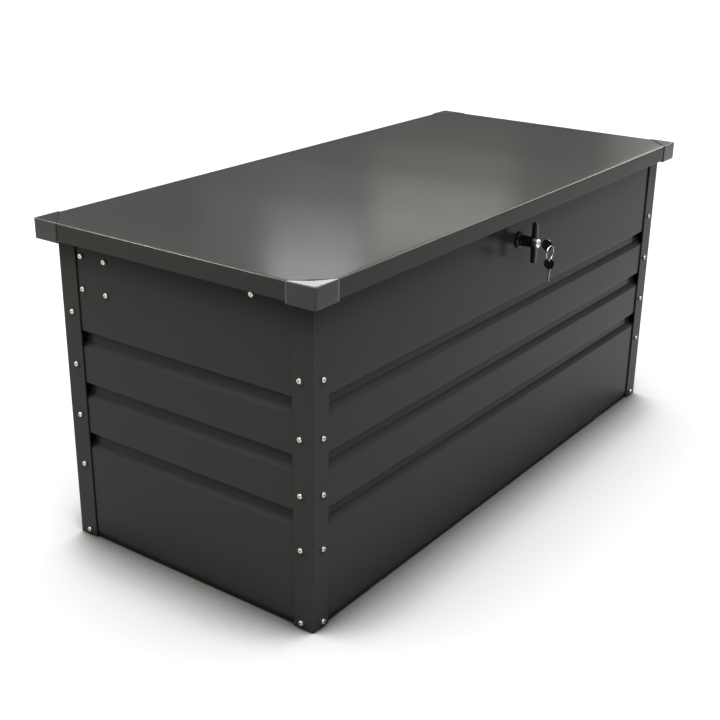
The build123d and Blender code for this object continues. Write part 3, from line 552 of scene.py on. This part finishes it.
def wall_section():
    """Section of a wall as (depth inward, height), from the foot up."""
    corners = [(0, panel_low[2])]
    for top in GROOVE_TOPS:
        foot = top - GROOVE_HEIGHT
        corners += [(0, foot), (GROOVE_DEPTH, foot + GROOVE_RISE), (GROOVE_DEPTH, top), (0, top)]
    corners.append((0, panel_high[2]))
    return filled_in(rounded(corners, BEND_RADIUS), FLAT_SPACING)


def sheet_waves(along, height, seed):
    """Oil-canning: a few slow sine waves with seeded phases, in metres of depth."""
    draw = np.random.default_rng(seed)
    waves = np.zeros(np.broadcast(along, height).shape)
    for _ in range(WAVE_COUNT):
        length_x, length_z = draw.uniform(0.18, 0.55), draw.uniform(0.12, 0.40)
        phase_x, phase_z = draw.uniform(0, 2 * math.pi, 2)
        along_wave = np.sin(2 * math.pi * along / length_x + phase_x)
        waves += along_wave * np.sin(2 * math.pi * height / length_z + phase_z)
    return CAN_DEPTH * waves / WAVE_COUNT


print("wall section:", len(wall_section()), "points")

# %% Make the walls


def make_wall(side, inward, run, seed):
    """Carry the wall's section along one side. inward and run are unit vectors of that side."""
    low, high = corners_of(f"{side}_panel")
    inward, run = np.array(inward, float), np.array(run, float)
    section = wall_section()
    half = (high - low) @ np.abs(run) / 2
    along = np.linspace(-half, half, 2 + int(2 * half / FLAT_SPACING))
    face = np.where(inward > 0, low, high) * np.abs(inward)
    depth, height = section[:, 0], section[:, 1]
    land = np.clip(1 - depth / GROOVE_DEPTH, 0, 1)
    groove_edges = [edge for top in GROOVE_TOPS for edge in (top - GROOVE_HEIGHT, top)]
    bends = np.array([0.0, *groove_edges, panel_high[2]])
    calm = np.clip(np.abs(height[:, None] - bends).min(axis=1) / CALM_BY_BEND, 0, 1) ** 2
    waves = sheet_waves(along[None, :], height[:, None], seed) * (land * calm)[:, None]
    calm_ends = np.clip((half - np.abs(along)) / CALM_BY_END, 0, 1)
    points = face + inward * (depth[:, None] + waves * calm_ends)[..., None]
    points = points + run * along[None, :, None] + np.array([0, 0, 1.0]) * height[:, None, None]
    wall = grid_piece(f"{side}_wall", points, sheet_paint, inside=(0, 0, 0.3), gauge=PANEL_GAUGE)
    return give(wall, "body", "painted_sheet", f"{side}_panel")


walls = [
    make_wall("front", (0, 1, 0), (1, 0, 0), 11),
    make_wall("rear", (0, -1, 0), (1, 0, 0), 12),
    make_wall("left", (1, 0, 0), (0, 1, 0), 13),
    make_wall("right", (-1, 0, 0), (0, 1, 0), 14),
]
print("walls:", [len(wall.data.polygons) for wall in walls], "faces")

# %% [markdown]
# ## The lid
# The lid is a shallow tray: a top, a rolled edge, a rim and a small hem turned in below. It is a
# family of rounded rectangles, each with its own inset and height. The innermost ring closes to a
# line in the middle. Between its ribs the top sags by a fraction of a millimetre.

# %% Lid rings
LID_CORNER = 3.0 * MM
LID_EDGE = 1.6 * MM
LID_HEM = 7.0 * MM
HEM_BEND = 1.0 * MM
RIB_SPACING = 0.310
SAG = 0.45 * MM
SAG_START = 50.0 * MM
SIDE_STEPS = 64

lid_low, lid_high = corners_of("lid_panel")
lid_middle = (lid_low + lid_high) / 2
lid_half = (lid_high - lid_low) / 2


def ring(inset, corner_steps=7):
    """A rounded rectangle, inset from the lid's outline, as corner arcs joined by straight runs."""
    half = np.maximum(lid_half[:2] - inset, 0)
    radius = max(LID_CORNER - inset, 0)
    turn = np.linspace(0, math.pi / 2, corner_steps)
    points = []
    for quarter, (side_x, side_y) in enumerate(((1, 1), (-1, 1), (-1, -1), (1, -1))):
        centre = (half - radius) * (side_x, side_y)
        angles = turn + quarter * math.pi / 2
        points.append(centre + radius * np.stack([np.cos(angles), np.sin(angles)], axis=1))
    outline = []
    for arc, following in zip(points, points[1:] + points[:1]):
        share = (np.arange(1, SIDE_STEPS) / SIDE_STEPS)[:, None]
        outline += [arc, arc[-1] + (following[0] - arc[-1]) * share]
    return np.vstack(outline)


def lid_profile():
    """The lid's section as (inset from the outline, height), from the middle out and down."""
    middle = lid_half[1]
    corners = [(middle, lid_high[2]), (0, lid_high[2]), (0, lid_low[2]), (LID_HEM, lid_low[2])]
    edge = rounded(corners[:3], LID_EDGE, 8)[:-1]
    hem = rounded([edge[-1], corners[2], corners[3]], HEM_BEND, 6)[1:]
    return filled_in(np.vstack([edge, hem]), 12 * MM)


profile = lid_profile()
print("lid section:", len(profile), "points")

# %% Lid sheet
rings = np.stack([ring(inset) for inset, _ in profile])
on_top = profile[:, 1] > lid_high[2] - 0.01 * MM
from_edge = np.clip(profile[:, 0] / SAG_START, 0, 1) ** 2 * on_top
across = np.abs(np.sin(math.pi * rings[..., 0] / RIB_SPACING)) ** 1.5
sag = SAG * across * (0.7 + 0.3 * np.cos(7 * rings[..., 1] + 3 * rings[..., 0]))
heights = profile[:, 1:] - from_edge[:, None] * sag
lid_points = np.concatenate([rings + lid_middle[:2], heights[..., None]], axis=-1)
lid_inside = (*lid_middle[:2], lid_low[2])
lid_sheet = grid_piece("lid_sheet", lid_points, sheet_paint, (False, True), lid_inside, PANEL_GAUGE)
give(lid_sheet, "lid", "painted_sheet", "lid_panel")
print("lid:", rings.shape, "grid")

# %% [markdown]
# ## The corner caps
# Each cap is moulded: a three-cornered plate on the lid, a wall down both rims and a hem below.
# Its surface is ruled. One direction follows the outside of the corner, and the other goes from the
# plate's long edge out to the corner's outline and down the wall. It is glossier than the lid.

# %% Cap surface
CAP_GAUGE = 1.0 * MM
CAP_EDGE = 0.8 * MM
CAP_HEM = 6.0 * MM
CAP_ROUND = 3.5 * MM
CAP_SPACING = 4.0 * MM
PLATE_STEPS = 7


def make_cap(side_x, side_y):
    """A cap from its outline, which runs along one rim, round the corner and along the other."""
    name = f"{'rear' if side_y > 0 else 'front'}_{'right' if side_x > 0 else 'left'}_cap"
    low, high = corners_of(name)
    signs = np.array([side_x, side_y])
    size, rise = (high - low)[0], high[2] - low[2]
    outline = filled_in(rounded([(size, 0), (0, 0), (0, size)], CAP_ROUND, 9), CAP_SPACING)
    inward = 1 - np.minimum(outline, CAP_ROUND) / CAP_ROUND
    steps = np.linalg.norm(np.diff(outline, axis=0), axis=1)
    share = np.concatenate([[0], np.cumsum(steps)]) / steps.sum()
    reach = CAP_GAUGE + (size - CAP_GAUGE) * np.stack([1 - share, share], axis=1)
    bend = rounded([(0, 10 * MM), (0, 0), (rise, 0), (rise, CAP_HEM)], CAP_EDGE, 5)[1:]
    rim = outline + inward * bend[0][1]
    plate = [(reach + (rim - reach) * step, high[2]) for step in np.linspace(0, 1, PLATE_STEPS)[:-1]]
    fall = [(outline + inward * inset, high[2] - down) for down, inset in bend]
    points = np.stack([np.column_stack([flat, np.full(len(flat), z)]) for flat, z in plate + fall])
    outer = np.where(signs > 0, high[:2], low[:2])
    points[..., :2] = outer - signs * points[..., :2]
    inside = (*(outer - signs * size / 3), low[2] + rise / 2)
    cap = grid_piece(name + "_cover", points, cap_paint, inside=inside, gauge=CAP_GAUGE, sharp=50)
    return give(cap, "lid", "painted_frame", name)


caps = [make_cap(side_x, side_y) for side_y in (-1, 1) for side_x in (-1, 1)]
print("caps:", [cap.name for cap in caps])

# %% [markdown]
# ## The lock
# The rosette and the neck are turned shapes: a radius for each place along the lock's axis, spun
# once round. The handle's bar is carried along its length with an oval section that is widest at
# the hub. All of it is black lacquer, apart from the nickel barrel and its plug.

# %% Turned pieces
ROUND_STEPS = 48


def turned(name, profile_points, centre, material, steps=ROUND_STEPS, sharp=35.0):
    """Spin (place along Y, radius) round an axis through centre that lies along Y."""
    stations = np.array(profile_points, float)
    angles = np.linspace(0, 2 * math.pi, steps, endpoint=False)
    spun = np.empty((len(stations), steps, 3))
    spun[..., 0] = centre[0] + stations[:, 1:] * np.cos(angles)
    spun[..., 1] = stations[:, :1]
    spun[..., 2] = centre[2] + stations[:, 1:] * np.sin(angles)
    return grid_piece(name, spun, material, wrap=(False, True), sharp=sharp)


def smooth_profile(corners, radius, arc_steps=6):
    """Corners in millimetres to a rounded profile in metres."""
    return rounded(np.array(corners, float) * MM, radius * MM, arc_steps)


# %% Where the lock sits
rosette_low, rosette_high = corners_of("lock_rosette")
lock_centre = (rosette_low + rosette_high) / 2
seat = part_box("front_panel")[0][1]
seat_mm = seat / MM
thread_end = rosette_high[1] / MM
print("lock axis at", lock_centre.round(4))

# %% Rosette and its thread
THREAD_RADIUS = 10.0
THREAD_DEPTH = 0.8
THREAD_PITCH = 1.5
BORE_RADIUS = 5.05
ROSETTE_RADIUS = 16.0
ROSETTE_THICKNESS = 6.0
front_corners = [
    (seat_mm - 2.0, BORE_RADIUS),
    (seat_mm - ROSETTE_THICKNESS, BORE_RADIUS + 0.3),
    (seat_mm - ROSETTE_THICKNESS, ROSETTE_RADIUS - 3.4),
    (seat_mm - 3.6, ROSETTE_RADIUS - 0.1),
    (seat_mm, ROSETTE_RADIUS),
    (seat_mm, THREAD_RADIUS),
]
thread_places = np.arange(seat_mm + THREAD_DEPTH, thread_end - 0.4, THREAD_PITCH / 2)
thread_radii = THREAD_RADIUS - THREAD_DEPTH * (np.arange(len(thread_places)) % 2)
thread = np.column_stack([thread_places, thread_radii]) * MM
root = THREAD_RADIUS - THREAD_DEPTH
tail_corners = [(thread_end, root), (thread_end, BORE_RADIUS), (seat_mm - 2.0, BORE_RADIUS)]
rosette_profile = np.vstack([smooth_profile(front_corners, 1.1), thread, np.array(tail_corners) * MM])
rosette = turned("lock_rosette_cover", rosette_profile, lock_centre, lock_lacquer)
give(rosette, "body", "black_lock", "lock_rosette")
print("rosette:", len(rosette.data.polygons), "faces")

# %% T-handle's neck
handle_low, handle_high = corners_of("t_handle")
barrel_low, barrel_high = corners_of("lock_barrel")
bar_half = (handle_high[2] - handle_low[2]) / 2
bar_front = handle_low[1]
bar_thick = 12.0 * MM
bar_middle = bar_front + bar_thick / 2
neck_start, neck_end = bar_front / MM + 0.1, handle_high[1] / MM
POCKET_RADIUS = 8.5
neck_corners = [
    (neck_start, POCKET_RADIUS),
    (neck_start, 10.8),
    (bar_middle / MM, 11.9),
    (bar_middle / MM + 8, 10.2),
    (neck_end - 6, 10.4),
    (neck_end, 11.9),
    (neck_end, BORE_RADIUS),
]
neck_profile = smooth_profile(neck_corners, 1.0)
barrel_end = barrel_high[1] / MM
neck_bore = [(barrel_end, BORE_RADIUS), (barrel_end, POCKET_RADIUS), (neck_start, POCKET_RADIUS)]
neck_points = np.vstack([neck_profile, np.array(neck_bore) * MM])
neck = turned("handle_neck", neck_points, lock_centre, lock_lacquer)
give(neck, "handle", "black_lock")
print("neck:", len(neck.data.polygons), "faces")

# %% T-handle's bar
ARM_HALF_WIDTH, HUB_SWELL, HUB_SHARE = 4.7 * MM, 3.2 * MM, 0.55
ARM_HALF_THICKNESS, MIDDLE_SWELL = 5.0 * MM, 1.0 * MM
END_SHARE = 0.07


def bar_section(place):
    """Half width and half thickness of the handle's bar at places from -1 to 1 along it. Its last
    share, END_SHARE, is a quick rounding: (1 - t ** 4) ** (1 / 4), with t from 0 to 1 over it."""
    reach = np.abs(place)
    width = ARM_HALF_WIDTH + HUB_SWELL * np.clip(1 - reach / HUB_SHARE, 0, 1) ** 2
    thickness = ARM_HALF_THICKNESS + MIDDLE_SWELL * np.clip(1 - reach, 0, 1)
    past = np.clip(reach - (1 - END_SHARE), 0, END_SHARE) / END_SHARE
    end = (1 - past**4) ** 0.25
    return width * end, thickness * end


places = np.sin(np.linspace(-math.pi / 2, math.pi / 2, 61))
half_width, half_thickness = bar_section(places)
angles = np.linspace(0, 2 * math.pi, 40, endpoint=False)
SQUARENESS = 0.42
round_x = np.sign(np.cos(angles)) * np.abs(np.cos(angles)) ** SQUARENESS
round_y = np.sign(np.sin(angles)) * np.abs(np.sin(angles)) ** SQUARENESS
bar_points = np.empty((len(places), len(angles), 3))
bar_points[..., 0] = lock_centre[0] + half_width[:, None] * round_x
bar_points[..., 1] = bar_middle + half_thickness[:, None] * round_y
bar_points[..., 2] = (lock_centre[2] + bar_half * places)[:, None]
bar = grid_piece("handle_bar", bar_points, lock_lacquer, wrap=(False, True), sharp=60)
give(bar, "handle", "black_lock", "t_handle")
print("bar:", len(bar.data.polygons), "faces")

# %% [markdown]
# ## Keys
# A key is a steel blade with cut teeth and a moulded head. The head is a disc with a hole near its
# edge. A cut hole would leave sharp edges to bevel, so the head is one closed surface instead: it
# runs from the outer circle to the hole's circle along a section with a rounded lip at each end.

# %% Key blade
BLADE_HALF = 1.0 * MM
HEAD_HALF = 1.6 * MM
HEAD_RADIUS = 11.0 * MM
HOLE_RADIUS = 2.2 * MM
HOLE_OFFSET = 7.0 * MM
KEY_HALF_WIDTH = 3.5 * MM
SHOULDER = 5.0 * MM
TIP_LENGTH, TIP_DROP = 2.5 * MM, 1.0 * MM
TEETH = (0.0, 1.6, 0.6, 2.2, 1.0, 1.9, 0.4)


def in_key_plane(along, across, sideways, origin, direction):
    """Points of a key: along its direction, across it in the upright plane, and sideways in X."""
    direction = np.array(direction, float)
    normal = np.array([0, -direction[2], direction[1]])
    point = np.array(origin) + direction * along[..., None] + normal * across[..., None]
    return point + np.array([1.0, 0, 0]) * sideways[..., None]


def key_blade(name, origin, direction, start, end):
    """A flat blade with teeth cut in one edge, from start to end along its direction."""
    along = np.linspace(start, end, 3 * len(TEETH) + 1)
    cut = np.interp(np.linspace(0, len(TEETH) - 1, len(along)), range(len(TEETH)), TEETH) * MM
    lower = -KEY_HALF_WIDTH + cut * (along > start + SHOULDER)
    upper = np.full(len(along), KEY_HALF_WIDTH)
    taper = np.clip((end - along) / TIP_LENGTH, 0, 1)
    drop = (1 - taper) * TIP_DROP
    lower, upper = lower * taper - drop, upper * taper - drop
    section = [(lower, -0.7), (lower, 0.7), (upper, 0.7), (upper, -0.7)]
    flat = np.full(len(along), BLADE_HALF)
    loop = [in_key_plane(along, edge, side * flat, origin, direction) for edge, side in section]
    points = np.stack(loop, axis=1)
    first, last = points[:1].mean(axis=1, keepdims=True), points[-1:].mean(axis=1, keepdims=True)
    points = np.concatenate([np.repeat(first, 4, 1), points, np.repeat(last, 4, 1)])
    return grid_piece(name, points, key_steel, wrap=(False, True), sharp=30)


print("a key has", len(TEETH), "cuts")

# %% Key head


def key_head(name, origin, direction, hole_along):
    """A disc round origin with a hole towards its edge. The section from rim to hole is a rounded
    lip, a slightly sunk face and a rounded lip again, and it is carried between the two circles."""
    angles = np.linspace(0, 2 * math.pi, 56, endpoint=False)
    rim_lip = [(0.00, 0.55), (0.02, 0.85), (0.06, 1.0), (0.16, 1.0), (0.22, 0.82), (0.60, 0.82)]
    hole_lip = [(0.80, 0.82), (0.86, 0.95), (0.95, 0.95), (1.0, 0.75)]
    half_section = np.array(rim_lip + hole_lip)
    section = np.vstack([half_section, half_section[::-1] * (1, -1)])
    mix, side = section[:, 0][:, None], section[:, 1][:, None] * HEAD_HALF
    along = (1 - mix) * HEAD_RADIUS * np.cos(angles) + mix * (hole_along + HOLE_RADIUS * np.cos(angles))
    across = (1 - mix) * HEAD_RADIUS * np.sin(angles) + mix * HOLE_RADIUS * np.sin(angles)
    points = in_key_plane(along, across, np.broadcast_to(side, along.shape), origin, direction)
    return grid_piece(name, points, key_plastic, wrap=(True, True), sharp=50)


# %% Key in the lock and spare key
key_low, key_high = corners_of("lock_key")
spare_low, spare_high = corners_of("spare_key")
lock_head = (0, key_low[1] + HEAD_RADIUS, (key_low[2] + key_high[2]) / 2)
spare_head = (0, (spare_low[1] + spare_high[1]) / 2, spare_high[2] - HEAD_RADIUS)
keys = (
    ("lock_key", "key", lock_head, (0, 1, 0), key_high[1] - lock_head[1]),
    ("spare_key", "spare", spare_head, (0, 0, -1), spare_head[2] - spare_low[2]),
)
for key, body, head, direction, reach in keys:
    give(key_head(f"{key}_head", head, direction, -HOLE_OFFSET), body, "key_head", key)
    blade = key_blade(f"{key}_blade", head, direction, HEAD_RADIUS - 1.5 * MM, reach)
    give(blade, body, "bright_metal")
    print(key, "reaches", round(reach / MM, 1), "mm from its head's middle")

# %% [markdown]
# ## The split ring
# The keys hang on a split ring: two turns of thin wire side by side, whose ends are free. A torus
# would be one closed turn, so the wire's centre line is worked out as two turns round a circle,
# which step sideways by one wire where they pass each other. A small circle is carried along it.

# %% Split ring
ring_low, ring_high = corners_of("key_ring")
ring_middle = (ring_low + ring_high) / 2
WIRE = (ring_high[1] - ring_low[1]) / 4
ring_mean = (ring_high[0] - ring_low[0]) / 2 - WIRE
WIRE_STEPS = 10
PASSING_ANGLE = 0.35
turns = np.linspace(0, 4 * math.pi, 161)
shift = WIRE * np.clip((turns - 2 * math.pi) / PASSING_ANGLE, -1, 1)
around = np.linspace(0, 2 * math.pi, WIRE_STEPS, endpoint=False)
spokes = np.stack([np.cos(turns), np.zeros_like(turns), np.sin(turns)], axis=1)
centres = ring_middle + spokes * ring_mean + np.array([0, 1.0, 0]) * shift[:, None]
side = np.array([0, 1.0, 0])
wire = spokes[:, None] * np.cos(around)[:, None] + side * np.sin(around)[:, None]
coil = centres[:, None] + WIRE * wire
ends = [np.repeat(centre[None, None], WIRE_STEPS, 1) for centre in (centres[0], centres[-1])]
coil = np.concatenate([ends[0], coil, ends[1]])
split_ring = grid_piece("split_ring", coil, nickel, wrap=(False, True), sharp=60)
give(split_ring, "ring", "bright_metal", "key_ring")
print("ring wire:", round(2 * WIRE / MM, 2), "mm")
